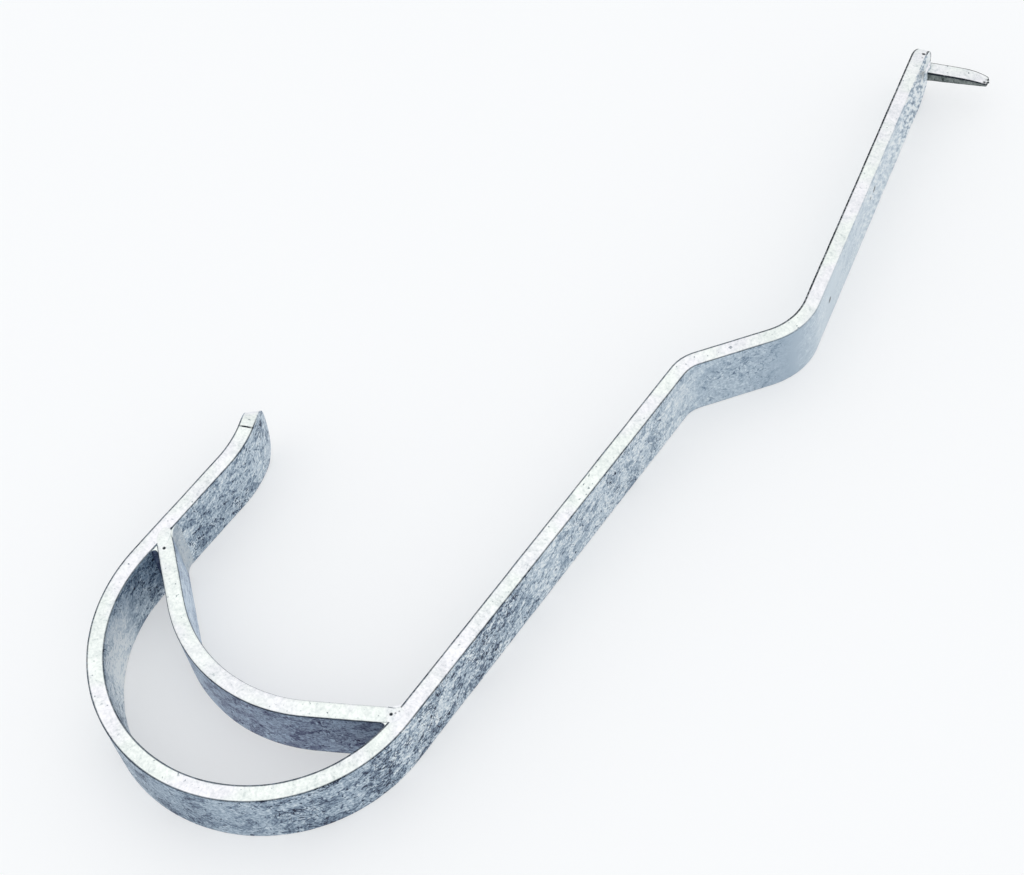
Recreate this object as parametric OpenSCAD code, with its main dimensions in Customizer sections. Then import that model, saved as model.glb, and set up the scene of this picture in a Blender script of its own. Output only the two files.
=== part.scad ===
// Roof hook for a round snow-guard log, welded up from flat bar and hot-dip galvanised.
//
// One flat bar is bent flatwise into a J that takes the log, steps sideways
// over the lap of the roof covering and runs on as a tang with a spike that
// bites into the batten. A second, shorter bar is bent to the log's radius and
// welded across the J as the log's seat.
//
// The hook lies on the edge of its bars: +Z is the width of the bars, +Y runs
// up the roof from the log to the tang, +X points down to the roof. The origin
// is where the axis of the seated log meets the plane of the lower edges.

/* [Flat bar] */
// Width of the flat bars, which is the height of the hook lying on its edge
bar_w = 35; // [25:1:50]
// Thickness of the bent bar
bar_t = 8; // [5:0.5:12]
// Radius of the rolled edges along the bars
edge_r = 1.2; // [0.5:0.1:2]
// Radius that the shear leaves at the corners of both bar ends
end_r = 16; // [4:0.5:20]

/* [Hook] */
// Clear width between the arm and the shank
hook_gap = 144; // [120:1:180]
// Straight part of the arm above the bend
arm_len = 60; // [50:1:120]
// Centreline radius of the arm's outward flare
flare_r = 60; // [30:1:100]
// Angle of the outward flare
flare_a = 19; // [5:1:35]
// Centreline radius of the lip that ends the arm
lip_r = 40; // [20:1:80]
// Angle of the lip
lip_a = 26; // [15:1:40]

/* [Shank and tang] */
// Straight part of the shank from the hook's bend to the step
shank_len = 216; // [140:1:320]
// Centreline radius of the first bend of the step
step_in_r = 18; // [15:1:40]
// Angle of the first bend of the step, towards the roof
step_in_a = 37; // [20:1:50]
// Straight part of the step between its two bends
step_len = 38; // [20:1:70]
// Centreline radius of the second bend of the step
step_out_r = 34; // [15:1:50]
// Angle of the second bend of the step, away from the roof
step_out_a = 49; // [25:1:60]
// Straight length of the tang
tang_len = 190; // [100:1:260]

/* [Log seat] */
// Diameter of the log that the seat is bent to
log_d = 140; // [110:1:160]
// Thickness of the seat strap
seat_t = 8; // [5:0.5:10]
// Angle that the bent middle of the seat wraps round the log
seat_wrap = 68; // [50:1:80]
// Height of the log's axis above the centre of the hook's bend
log_rise = 46.5; // [40:0.5:55]
// Distance of the log's axis from the middle of the hook, towards the shank
log_shift = 3; // [-4:0.5:6]
// Angle by which the seat is turned down towards the shank
seat_tilt = 6; // [0:0.5:10]

/* [Spike] */
// Length of the spike beyond the face of the tang
spike_len = 33; // [15:1:60]
// Width of the spike, measured along the tang
spike_w = 8; // [5:0.5:11]
// Height of the spike at its root
spike_h = 6; // [4:0.5:12]
// Thickness left at the blunt tip of the spike
spike_tip = 1; // [0.5:0.1:3]
// Distance from the end of the tang to the middle of the spike
spike_inset = 7; // [6:0.5:30]

/* [Welds] */
// Leg of the fillet welds between the seat and the hook
seat_weld = 5; // [2:0.5:7]
// Leg of the weld round the root of the spike
spike_weld_leg = 3.5; // [2:0.5:6]

/* [Hidden] */
$fa = 3;
$fs = 0.4;

steel = "lightslategray";
zinc = "lightgray";

// The hook's bend, measured to the middle of the bar's thickness
bend_r = hook_gap / 2 + bar_t / 2;
// The seat's bend, measured to the middle of the strap's thickness
seat_r = log_d / 2 + seat_t / 2;
// The rounded corners leave at least a narrow flat at the middle of each end
nose_r = min(end_r, bar_w / 2 - 1);
// How far the tip of the spike lies below its level top
spike_drop = (spike_h - spike_tip) * 0.3;
// Steepness of the strap's straight ends at the arm and at the shank
seat_slope_arm = seat_wrap / 2 + seat_tilt;
seat_slope_shank = seat_wrap / 2 - seat_tilt;
// How far each straight end of the strap runs before the hook's faces trim it
seat_run = hook_gap;
// The log's axis, from the centre of the hook's bend
log_axis = [log_shift, log_rise];

// ---- bars, swept along a path in plan --------------------------------------

// The largest turn that one flat of a bend takes
bend_step = 4;

// A flat bar's section as points [across, up]. Each rolled edge is three narrow
// flats round edge_r.
function bar_section(t) =
    let (x = t / 2 - edge_r, y = [edge_r, bar_w - edge_r],
         middles = [[x, y[1]], [-x, y[1]], [-x, y[0]], [x, y[0]]])
    [for (c = [0:3], a = [0:30:90])
        middles[c] + edge_r * [cos(90 * c + a), sin(90 * c + a)]];

// A place on a path is [x, y, heading]. Heading 0 looks along +Y and grows
// towards +X; these are its unit vectors ahead and to the right.
function ahead(h) = [sin(h), cos(h)];
function right(h) = [cos(h), -sin(h)];

// The places that follow p along one leg: [length, 0] runs straight on, and
// [radius, angle] bends to the right, or to the left where the angle is negative.
function leg(p, l) =
    l[1] == 0 ? [[each ([p.x, p.y] + l[0] * ahead(p.z)), p.z]]
    : let (r = l[0] * sign(l[1]), centre = [p.x, p.y] + r * right(p.z),
           n = ceil(abs(l[1]) / bend_step))
      [for (i = [1:n]) let (h = p.z + l[1] * i / n) [each (centre - r * right(h)), h]];

// A path grown leg by leg
function walk(path, legs, i = 0) =
    i == len(legs) ? path
    : walk(concat(path, leg(path[len(path) - 1], legs[i])), legs, i + 1);

// The same path walked from its far end, without the place where it began
function turned_back(path) =
    [for (i = [len(path) - 1:-1:1]) [path[i].x, path[i].y, path[i].z + 180]];

// A bar of thickness t along a path
module swept_bar(path, t) {
    section = bar_section(t);
    n = len(section);
    last = len(path) - 1;
    polyhedron(
        points = [for (p = path, q = section) [each ([p.x, p.y] + q.x * right(p.z)), q.y]],
        faces = concat(
            [[for (j = [n - 1:-1:0]) j]],
            [for (i = [0:last - 1], j = [0:n - 1]) let (k = (j + 1) % n)
                [i * n + j, i * n + k, (i + 1) * n + k, (i + 1) * n + j]],
            [[for (j = [0:n - 1]) last * n + j]]));
}

// Carries on at the end of a straight length
module past_straight(len) { translate([0, len, 0]) children(); }

// Carries on at the end of a bend to the right
module past_bend(r, a) {
    translate([r, 0, 0]) rotate([0, 0, -a]) translate([-r, 0, 0]) children();
}

// What the shear takes off the corners of a bar end that points along +Y: a
// quarter round in flats, the first and last of which run on clear of the bar
module end_trim() {
    flats = 9;
    turn = 90 / flats;
    cutter = concat(
        [[-nose_r, 0] - [1 / tan(turn / 2), 1]],
        [for (i = [1:flats - 1]) nose_r * [sin(i * turn) - 1, 1 - cos(i * turn)]],
        [nose_r * [0, 1] + 0.2 * [1, 1 / tan(turn / 2)], [bar_t, nose_r], [bar_t, -1]]);
    for (side = [0, 1])
        translate([0, 0, side * bar_w]) mirror([0, 0, side])
            rotate([90, 0, 90]) translate([0, 0, -2 * bar_t])
                linear_extrude(4 * bar_t) polygon(cutter);
}

// ---- places along the hook, from the centre of its bend --------------------

// Where the arm leaves the bend; its frame is mirrored so that +X is outwards
module at_arm() { translate([-bend_r, 0, 0]) mirror([1, 0, 0]) children(); }

// Where the lip ends
module at_lip_end() {
    at_arm() past_straight(arm_len) past_bend(flare_r, flare_a)
        past_bend(lip_r, lip_a) children();
}

// Where the shank leaves the bend
module at_shank() { translate([bend_r, 0, 0]) children(); }

// Where the tang starts, past the step
module at_tang() {
    at_shank() past_straight(shank_len) past_bend(step_in_r, step_in_a)
        past_straight(step_len)
            mirror([1, 0, 0]) past_bend(step_out_r, step_out_a) mirror([1, 0, 0])
                children();
}

// The middle of the spike's root, on the roof side of the tang
module at_spike() {
    at_tang() translate([bar_t / 2, tang_len - spike_inset, bar_w / 2]) children();
}

// ---- pieces ----------------------------------------------------------------

// The arm's path from the hook's bend up to the lip
arm_path = walk([[-bend_r, 0, 0]], [[arm_len, 0], [flare_r, -flare_a], [lip_r, -lip_a]]);
// The whole bar's path, from the lip round the hook and over the step to the tang
bar_path = walk(concat(turned_back(arm_path), [[-bend_r, 0, 180]]), [
    [bend_r, -180],
    [shank_len, 0],
    [step_in_r, step_in_a],
    [step_len, 0],
    [step_out_r, -step_out_a],
    [tang_len, 0]]);

// The room that the bar goes round, inside its bent faces
module hook_room(height) {
    linear_extrude(height)
        polygon([for (p = bar_path) [p.x, p.y] - bar_t / 2 * right(p.z)]);
}

module main_bar_shape() {
    difference() {
        swept_bar(bar_path, bar_t);
        at_lip_end() end_trim();
        at_tang() past_straight(tang_len) end_trim();
    }
}

// The strap's path under the log, from beyond the arm's face to beyond the
// shank's: straight, bent to the log's radius, straight
seat_path =
    let (h = 90 + seat_slope_arm,
         foot = log_axis + seat_r * right(h))
    walk([[each (foot - seat_run * ahead(h)), h]], [
        [seat_run, 0],
        [seat_r, -seat_wrap],
        [seat_run, 0]]);

// The strap, with its ends cut to the inner faces of the hook
module seat_strap_shape() {
    intersection() {
        swept_bar(seat_path, seat_t);
        translate([0, 0, -1]) hook_room(bar_w + 2);
    }
}

// How far the spike's top has curved down at a share f of its sloping part
function spike_fall(f) = spike_drop * (1 - sqrt(1 - pow(0.9 * f, 2))) / (1 - sqrt(1 - 0.81));

// The spike from the side: a level top that curves down to meet a rising underside
module spike_side() {
    level = spike_len * 0.45;
    steps = 10;
    polygon(concat(
        [[0, spike_h / 2], [0, -spike_h / 2], [spike_len, spike_h / 2 - spike_drop - spike_tip]],
        [for (i = [steps:-1:0])
            [level + (spike_len - level) * i / steps, spike_h / 2 - spike_fall(i / steps)]]));
}

// The spike from above: parallel sides and rounded corners at the tip
module spike_plan() {
    r = spike_w * 0.3;
    translate([0, -spike_w / 2]) square([spike_len - r, spike_w]);
    translate([0, -spike_w / 2 + r]) square([spike_len, spike_w - 2 * r]);
    for (y = [-1, 1]) translate([spike_len - r, y * (spike_w / 2 - r)]) circle(r = r);
}

module spike_shape() {
    at_spike() intersection() {
        translate([0, 0, -spike_h]) linear_extrude(2 * spike_h) spike_plan();
        translate([0, spike_w, 0]) rotate([90, 0, 0]) linear_extrude(2 * spike_w) spike_side();
    }
}

// The strap's centreline at one of the hook's faces, from the bend's centre:
// side is -1 at the arm and 1 at the shank
function seat_end(side) =
    let (slope = side < 0 ? seat_slope_arm : seat_slope_shank,
         x = side * hook_gap / 2,
         // where the bent middle hands over to the straight end
         tx = log_axis.x + side * seat_r * sin(slope),
         ty = log_axis.y - seat_r * cos(slope))
    [x, ty + abs(x - tx) * tan(slope), slope];

// Fillet welds above and below the strap where it meets one of the hook's faces
module seat_fillets(side) {
    e = seat_end(side);
    half = seat_t / 2 / cos(e[2]);
    sink = 0.3 * seat_weld;
    difference() {
        intersection() {
            translate([0, 0, edge_r]) linear_extrude(bar_w - 2 * edge_r) {
                // in the log's cradle
                translate([e.x + side * sink, e.y + half - sink]) circle(r = seat_weld);
                // in the closed loop under the seat
                translate([e.x + side * sink, e.y - half + sink]) circle(r = seat_weld);
            }
            hook_room(bar_w);
        }
        // the strap
        translate([e.x, e.y, 0]) rotate([0, 0, side * e[2]])
            translate([-hook_gap / 2, -seat_t / 2, 0]) cube([hook_gap, seat_t, bar_w]);
    }
}

// A convex bead round the spike's root on the face of the tang
module spike_bead() {
    r = spike_weld_leg;
    at_spike() difference() {
        union() {
            for (s = [-1, 1]) {
                translate([0, -spike_w / 2, s * spike_h / 2])
                    rotate([-90, 0, 0]) cylinder(h = spike_w, r = r);
                translate([0, s * spike_w / 2, -spike_h / 2]) cylinder(h = spike_h, r = r);
                for (u = [-1, 1]) translate([0, s * spike_w / 2, u * spike_h / 2]) sphere(r = r);
            }
        }
        // the face of the tang
        translate([-2 * r, -spike_w, -spike_h - r]) cube([2 * r, 2 * spike_w, 2 * spike_h + 2 * r]);
        // the spike
        intersection() {
            translate([0, 0, -spike_h]) linear_extrude(2 * spike_h) spike_plan();
            translate([0, spike_w, 0]) rotate([90, 0, 0]) linear_extrude(2 * spike_w) spike_side();
        }
    }
}

// Moves the hook from the centre of its bend to the log's axis
module placed() { translate([-log_axis.x, -log_axis.y, 0]) children(); }

module main_bar() { color(steel) placed() main_bar_shape(); }
module seat_strap() { color(steel) placed() seat_strap_shape(); }
module spike() { color(steel) placed() spike_shape(); }
module arm_weld() { color(zinc) placed() seat_fillets(-1); }
module shank_weld() { color(zinc) placed() seat_fillets(1); }
module spike_weld() { color(zinc) placed() spike_bead(); }

main_bar();
seat_strap();
spike();
arm_weld();
shank_weld();
spike_weld();
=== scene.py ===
"""Looks of a hot-dip galvanised roof hook that holds a round snow-guard log.

Two flat bars lie on their edges: a long one, bent to a J with a stepped shank
and a tang, and a short one, bent to the log's radius and welded across the J.
Each bar is made straight, with its rolled edges and sheared ends, and is then
bent leg by leg as the smith bends it. X points to the roof, Y runs up the
roof, Z is the width of the bars. The origin is on the log's axis. A mesh is
in mm until it is finished.
"""

import logging
import math
from dataclasses import dataclass, replace
from enum import Enum
from functools import partial

import bmesh
import bpy
from mathutils import Matrix, Vector, noise


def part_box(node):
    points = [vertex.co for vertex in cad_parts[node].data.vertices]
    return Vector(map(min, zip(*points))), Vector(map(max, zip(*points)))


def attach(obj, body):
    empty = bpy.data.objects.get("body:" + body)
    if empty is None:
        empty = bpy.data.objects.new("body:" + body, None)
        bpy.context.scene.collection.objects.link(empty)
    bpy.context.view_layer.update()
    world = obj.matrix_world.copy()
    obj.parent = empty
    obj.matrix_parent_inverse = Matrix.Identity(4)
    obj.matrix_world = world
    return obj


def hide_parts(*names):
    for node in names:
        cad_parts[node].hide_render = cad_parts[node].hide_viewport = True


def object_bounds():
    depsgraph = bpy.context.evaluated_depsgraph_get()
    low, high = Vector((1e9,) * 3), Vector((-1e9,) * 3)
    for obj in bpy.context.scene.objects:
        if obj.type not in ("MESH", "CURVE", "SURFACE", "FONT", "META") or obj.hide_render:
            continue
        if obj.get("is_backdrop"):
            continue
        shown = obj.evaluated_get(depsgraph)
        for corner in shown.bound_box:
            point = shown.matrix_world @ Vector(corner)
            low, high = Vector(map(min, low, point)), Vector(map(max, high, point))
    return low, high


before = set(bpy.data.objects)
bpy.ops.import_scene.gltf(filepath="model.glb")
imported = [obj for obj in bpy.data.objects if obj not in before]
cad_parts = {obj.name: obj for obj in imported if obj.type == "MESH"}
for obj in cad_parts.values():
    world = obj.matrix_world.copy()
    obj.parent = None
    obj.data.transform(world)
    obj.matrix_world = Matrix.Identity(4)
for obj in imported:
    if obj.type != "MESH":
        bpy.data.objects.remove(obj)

CAD_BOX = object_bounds()
MM = 0.001
# How far across the patterns one seed shifts a piece, in mm
SEED_STEP = 9.0
# Edges that turn by less than this many degrees are shaded smooth
SMOOTH_BELOW = 35.0
# Settings that many nodes share
EASED = {"interpolation_type": "SMOOTHSTEP"}
TIMES_PLUS = {"operation": "MULTIPLY_ADD"}
LOG = logging.getLogger("log_hook")

Tree = bpy.types.NodeTree
Link = bpy.types.Node | bpy.types.NodeSocket
Material = bpy.types.Material
Mesh = bmesh.types.BMesh
Place = tuple[float, float, float]


class Turn(Enum):
    """The side that a bend turns to, seen from above while walking the bar."""

    LEFT = -1
    RIGHT = 1


class Corner(Enum):
    """The two corners between the seat and the hook that take a fillet weld."""

    CRADLE = 1
    LOOP = -1


def linear(code: str) -> tuple[float, float, float, float]:
    """Turns an sRGB hex colour to the linear values that shaders take.

    Args:
        code: A # and six hex digits.

    Returns:
        Linear red, green, blue and an alpha of 1.
    """
    parts = [int(code[i : i + 2], 16) / 255 for i in (1, 3, 5)]
    return (*(c / 12.92 if c <= 0.04045 else ((c + 0.055) / 1.055) ** 2.4 for c in parts), 1.0)


def add_node(
    tree: Tree,
    kind: str,
    *first: object,
    more: dict[str | int, object] | None = None,
    **settings: object,
) -> bpy.types.Node:
    """Adds a node with its settings, its constants and its links.

    An input takes a value, an output socket, or a node for its first output.

    Args:
        tree: The node tree to add to.
        kind: The node's type name, without "ShaderNode".
        *first: The first inputs, in order.
        more: Other inputs, by name or number.
        **settings: Properties of the node itself.

    Returns:
        The new node.
    """
    node = tree.nodes.new(f"ShaderNode{kind}")
    for name, value in settings.items():
        setattr(node, name, value)
    for key, value in (dict(enumerate(first)) | (more or {})).items():
        if isinstance(value, bpy.types.Node):
            value = value.outputs[0]
        if isinstance(value, bpy.types.NodeSocket):
            tree.links.new(value, node.inputs[key])
        else:
            node.inputs[key].default_value = value
    return node


def emptied(owner: Material | bpy.types.World) -> Tree:
    """Gives a material or a world an empty node tree.

    Args:
        owner: The material or the world.

    Returns:
        Its node tree.
    """
    owner.use_nodes = True
    owner.node_tree.nodes.clear()
    return owner.node_tree


# ---- finishes ----


@dataclass(frozen=True)
class Mark:
    """A place on the hook painted lighter or darker than around it: painted light and shade,
    and also real pits and nicks.

    Attributes:
        centre: The place, in mm.
        reach: How far the mark fades out, in mm.
        shade: How much lighter it is, out of 1, or darker if below 0.
        core: How much of the reach is fully marked, from 0 to 1.
    """

    centre: Place
    reach: float
    shade: float
    core: float = 0.3


@dataclass(frozen=True)
class LineTurn:
    """A stretch over which the dark lines along the arrises grow or fade.

    Attributes:
        start: Where it starts, in mm along the bar.
        end: Where it ends, in mm along the bar.
        change: How much darker the lines get, or fainter if below 0.
        right_only: Whether only the right-hand arrises change.
    """

    start: float
    end: float
    change: float
    right_only: bool = False


@dataclass(frozen=True)
class Pattern:
    """A noise that mottles the zinc, laid out on the straight bar.

    Attributes:
        size: Width of its largest features in mm.
        detail: How many finer layers it has.
        roughness: How strong the finer layers are.
        warp: How far its features are pulled about.
        crisp: How far from the middle it is cut off, or 0 for a soft noise.
        lean: Lean of its features in degrees.
        stretch: How many times longer than wide its features are.
        shift: Where it starts, in mm.
    """

    size: float
    detail: float
    roughness: float = 0.5
    warp: float = 0.0
    crisp: float = 0.0
    lean: float = 0.0
    stretch: float = 1.0
    shift: Place = (0.0, 0.0, 0.0)


# Lean of the strokes that the draining zinc leaves, in degrees
DRAIN_LEAN = 36.0
# Size of the blotches, and of the finest grain. The real grain is about 0.3 mm
# and is drawn coarser so that it shows.
BLOTCH_MM = 4.6
GRAIN_MM = 1.15
CLOUD_MM = 18.0
PATTERNS = {
    "cloud": Pattern(CLOUD_MM, 3.0, 0.6),
    "blotch": Pattern(BLOTCH_MM, 4.0, 0.62, warp=0.25, crisp=0.18),
    # The same blotches a little way off, for the painted light on their upper flanks and the
    # painted shade on their lower ones
    "above": Pattern(BLOTCH_MM, 4.0, 0.62, warp=0.25, shift=(0.3, 0.45, 0.6)),
    "stroke": Pattern(1.1, 2.0, 0.55, warp=0.4, crisp=0.15, lean=DRAIN_LEAN, stretch=3.4),
    "grain": Pattern(GRAIN_MM, 2.0, 0.6, crisp=0.17),
    # Runs of thick zinc, which set askew as the bar was drawn out
    "drip": Pattern(2.2, 3.0, 0.6, crisp=0.14, lean=-45.0, stretch=5.0),
    # Slate patches, drawn out along the drain strokes
    "patch": Pattern(5.5, 2.0, warp=0.6, lean=DRAIN_LEAN, stretch=2.0),
    "spot": Pattern(GRAIN_MM * 1.7, 1.0),
    "crack": Pattern(BLOTCH_MM * 1.3, 2.0, warp=1.0),
    "tint": Pattern(CLOUD_MM * 1.5, 2.0),
}
# How much of each pattern the tone takes, on the broad faces and on the edges
FACE_WEIGHTS = {"cloud": 0.4, "blotch": 0.14, "painted_relief_light": 0.28, "stroke": 0.04, "grain": 0.26}
EDGE_WEIGHTS = {"grain": 0.24, "painted_relief_light": 0.44, "blotch": 0.16, "cloud": 0.5}
# Mean tones of the broad faces, of their evener places and of the edges
FACE_TONE = 0.62
EVEN_TONE = 0.6
EDGE_TONE = 0.79


def gathered(tree: Tree, place: Link, marks: tuple[Mark, ...]) -> Link | float:
    """Adds up what some marks do to the tone.

    Args:
        tree: The material's node tree.
        place: The surface point in mm.
        marks: The marks.

    Returns:
        The sum of the marks' shades, or 0 without marks.
    """
    total: Link | float = 0.0
    for mark in marks:
        away = add_node(tree, "VectorMath", place, mark.centre, operation="DISTANCE")
        fade = (mark.reach * mark.core, mark.reach, mark.shade, 0.0)
        shade = add_node(tree, "MapRange", away.outputs["Value"], *fade, **EASED)
        total = add_node(tree, "Math", shade, total)
    return total


def weighed(
    tree: Tree,
    noises: dict[str, Link],
    weights: dict[str, float],
    base: float,
    contrast: float = 1.0,
) -> Link:
    """Mixes noises, each about 0.5, to a tone about a base.

    Args:
        tree: The material's node tree.
        noises: The noises by name.
        weights: How much of each noise is taken.
        base: The tone's mean.
        contrast: How strongly the tone varies.

    Returns:
        The tone.
    """
    tone: Link | float = base - 0.5 * sum(weights.values()) * contrast
    for name, weight in weights.items():
        tone = add_node(tree, "Math", noises[name], weight * contrast, tone, **TIMES_PLUS)
    return tone


@dataclass(frozen=True)
class GalvanisedSteel:
    """Hot-dip galvanised mild steel, drawn out of the bath and left to weather.

    The bath leaves a skin of zinc-iron alloy and zinc about 0.08 mm thick. It
    cools to a dull blue-grey with cloudy patches, short slanting strokes where
    the zinc drained, pale flecks of ash and dark freckles where the alloy
    shows. The upright broad faces are painted bluer by painted shade, and the
    level rolled edges are painted nearly white by painted light from above.
    On the arris between the two a dark line is painted, for thin zinc and for
    painted shade along the outlines. The eye sees a matt, mottled metal with
    nearly white edges and a fine dark outline.

    Attributes:
        name: Name of the material.
        face_tones: Colours of the broad faces, from bare alloy to thick zinc, tinted blue as
            painted shade.
        edge_tones: Colours of the rolled edges, in the same order, lifted to near white as
            painted light from above.
        hues: Two faint tints that the rolled edges wander between.
        arris: Colour of the dark line along the arrises, for thin zinc and painted outline
            shade.
        arris_share: How much of it shows where the bar starts, from 0 to 1.
        arris_end: How far round the rolled arris it shows, from 0 to 1.
        turns: Where along the bar its share changes.
        middle: Where the bar's middle lies across the patterns, in mm.
        creases: Places along the bar where a dark crease line, painted shade, crosses its
            edges, in mm.
        lift: Tone added everywhere.
        contrast: How strongly the tones vary.
        roughness: Roughness of the dull zinc.
        relief_mm: Height of the zinc's grain.
        marks: Places painted lighter or darker, as painted light and shade.
        evens: Places where the skin is more even, or less if below 0.
        runs: Places with runs of thick zinc.
        pits: Small dark pits.
    """

    name: str
    face_tones: tuple[tuple[float, str], ...] = (
        (0.0, "#2b3145"),
        (0.22, "#56647a"),
        (0.42, "#8698aa"),
        (0.6, "#aabac8"),
        (0.8, "#cbd7e0"),
        (1.0, "#ecf1f3"),
    )
    edge_tones: tuple[tuple[float, str], ...] = (
        (0.0, "#59636c"),
        (0.16, "#99a3a8"),
        (0.36, "#ccd3d4"),
        (0.58, "#e6eaea"),
        (1.0, "#f8faf9"),
    )
    hues: tuple[str, str] = ("#fafdfb", "#fbf9fe")
    arris: str = "#262c33"
    arris_share: float = 0.8
    arris_end: float = 0.58
    turns: tuple[LineTurn, ...] = ()
    middle: float = 0.0
    creases: tuple[float, ...] = ()
    lift: float = 0.0
    contrast: float = 1.15
    roughness: float = 0.5
    relief_mm: float = 0.10
    marks: tuple[Mark, ...] = ()
    evens: tuple[Mark, ...] = ()
    runs: tuple[Mark, ...] = ()
    pits: tuple[Mark, ...] = ()

    def mottled(self, tree: Tree, bar: Link) -> dict[str, Link]:
        """Adds the noises that the tones are mixed from.

        Args:
            tree: The material's node tree.
            bar: The place on the straight bar in mm.

        Returns:
            The noises by name. The noise "painted_relief_light" is painted light:
            high on the upper flanks of the skin's lumps and low on their lower ones.
        """
        add = partial(add_node, tree)
        soft: dict[str, Link] = {}
        for name, pattern in PATTERNS.items():
            where = bar
            if any(pattern.shift):
                where = add("VectorMath", where, pattern.shift)
            if pattern.stretch != 1.0:
                lean, long = math.radians(pattern.lean), pattern.stretch
                turned = {"Rotation": (lean, 0, 0), "Scale": (1, long, 1)}
                where = add("Mapping", where, more=turned, vector_type="TEXTURE")
            shape = {
                "Scale": 1 / pattern.size,
                "Detail": pattern.detail,
                "Roughness": pattern.roughness,
                "Distortion": pattern.warp,
            }
            soft[name] = add("TexNoise", where, more=shape)
        # Painted light and shade on the lumps: the blotches less their shifted copy, lighter
        # on the upper flanks and darker on the lower ones
        painted_relief_light = add("Math", soft["blotch"], soft["above"], operation="SUBTRACT")
        made = {**soft, "painted_relief_light": add("MapRange", painted_relief_light, -0.14, 0.14)}
        # Crisp blotches and grain: the skin is either sound or worn there
        for name, pattern in PATTERNS.items():
            if pattern.crisp:
                limits = (0.5 - pattern.crisp, 0.5 + pattern.crisp)
                made[name] = add("MapRange", soft[name], *limits)
        return made

    def toned(self, tree: Tree, place: Link, noises: dict[str, Link]) -> tuple[Link, Link]:
        """Works out the tones of the zinc, 0 for bare alloy and 1 for thick zinc.

        Args:
            tree: The material's node tree.
            place: The surface point in mm.
            noises: The noises by name.

        Returns:
            The tones of the broad faces and of the rolled edges.
        """
        add = partial(add_node, tree)
        deep = self.contrast
        tone = weighed(tree, noises, FACE_WEIGHTS, FACE_TONE + self.lift, deep)
        pale = weighed(tree, noises, EDGE_WEIGHTS, EDGE_TONE)
        # Slate patches, with outlines that the grain frays
        worn = add("Math", noises["grain"], -0.05, noises["patch"], **TIMES_PLUS)
        worn = add("MapRange", worn, 0.49, 0.53, 0.05 * deep, -0.14 * deep)
        tone = add("Math", tone, worn)
        # A few dark spots, in loose groups
        spot = add("Math", noises["cloud"], 0.35, noises["spot"], **TIMES_PLUS)
        spot = add("MapRange", spot, 0.88, 0.93, 0.0, -0.55)
        tone = add("Math", spot, 0.7, tone, **TIMES_PLUS)
        # Thin dark worm tracks with pale lips, where the skin cracked open
        crack = add("Math", noises["crack"], -0.5)
        crack = add("Math", crack, operation="ABSOLUTE")
        track = add("MapRange", crack, 0.01, 0.028, -0.5 * deep, 0.0)
        lip = add("MapRange", crack, 0.035, 0.08, 0.16 * deep, 0.0)
        opened = add("MapRange", noises["cloud"], 0.6, 0.42)
        tone = add("Math", add("Math", track, lip), opened, tone, **TIMES_PLUS)
        # Evener places, by a Mix whose inputs 2 and 3 are its two numbers
        even = gathered(tree, place, self.evens)
        level = {2: tone, 3: EVEN_TONE + self.lift}
        tone = add("Mix", even, more=level, clamp_factor=False)
        # Runs of thick zinc, and the marks, which paint light and shade
        drip = add("Math", noises["drip"], -0.5)
        tone = add("Math", drip, gathered(tree, place, self.runs), tone, **TIMES_PLUS)
        tone = add("Math", tone, gathered(tree, place, self.marks))
        return tone, add("Math", pale, spot)

    def outlined(self, tree: Tree, bar: Link, rim: Link, grain: Link) -> Link:
        """Finds where dark lines are painted: along the arrises, for thin zinc and painted
        outline shade, and in creases, as painted shade.

        Args:
            tree: The material's node tree.
            bar: The place on the straight bar in mm.
            rim: 0 on the broad faces, 1 on the rolled edges.
            grain: The fine grain, which breaks the line up.

        Returns:
            1 where the line is darkest, otherwise down to 0.
        """
        add = partial(add_node, tree)
        across, along, _ = add("SeparateXYZ", bar).outputs
        right = add("MapRange", across, self.middle - 1.0, self.middle + 1.0)
        share: Link | float = self.arris_share
        for turn in self.turns:
            part = add("MapRange", along, turn.start, turn.end, 0.0, turn.change, **EASED)
            side = right if turn.right_only else 1.0
            share = add("Math", part, side, share, **TIMES_PLUS)
        # A line that is stronger than full is wider
        end = add("MapRange", share, 0.8, 1.8, self.arris_end, self.arris_end + 0.34)
        start = add("Math", end, -0.18)
        falling = add("MapRange", rim, start, end, 1.0, 0.0, **EASED)
        broken = add("MapRange", grain, 0.0, 0.5, 0.55, 1.0)
        line = add("MapRange", rim, 0.01, 0.12, **EASED)
        for part in (falling, share, broken):
            line = add("Math", line, part, operation="MULTIPLY")
        # Painted shade: a dark line across the rolled edges at each crease
        for crease in self.creases:
            shown = add("Math", along, crease, 0.5, operation="COMPARE")
            for part in (broken, rim):
                shown = add("Math", shown, part, operation="MULTIPLY")
            line = add("Math", line, shown)
        return line

    def build(self) -> Material:
        """Makes the material.

        Returns:
            The finished material.
        """
        material = bpy.data.materials.new(self.name)
        tree = emptied(material)
        add = partial(add_node, tree)
        # The place on the bar before it was bent, and the place on the hook, in mm
        stock = add("Attribute", attribute_name="stock").outputs["Vector"]
        whole = add("TexCoord").outputs["Object"]
        bar, place = (
            add("VectorMath", source, more={"Scale": 1 / MM}, operation="SCALE")
            for source in (stock, whole)
        )
        rim = add("Attribute", attribute_name="rim").outputs["Fac"]
        noises = self.mottled(tree, bar)
        levels = self.toned(tree, place, noises)

        # The colours of the broad faces and of the rolled edges
        coats = []
        for level, tones in zip(levels, (self.face_tones, self.edge_tones)):
            coat = add("ValToRGB", level)
            stops = coat.color_ramp.elements
            for stop, (position, colour) in zip(stops, (tones[0], tones[-1])):
                stop.position, stop.color = position, linear(colour)
            for position, colour in tones[1:-1]:
                stops.new(position).color = linear(colour)
            coats.append(coat.outputs[0])
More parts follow.
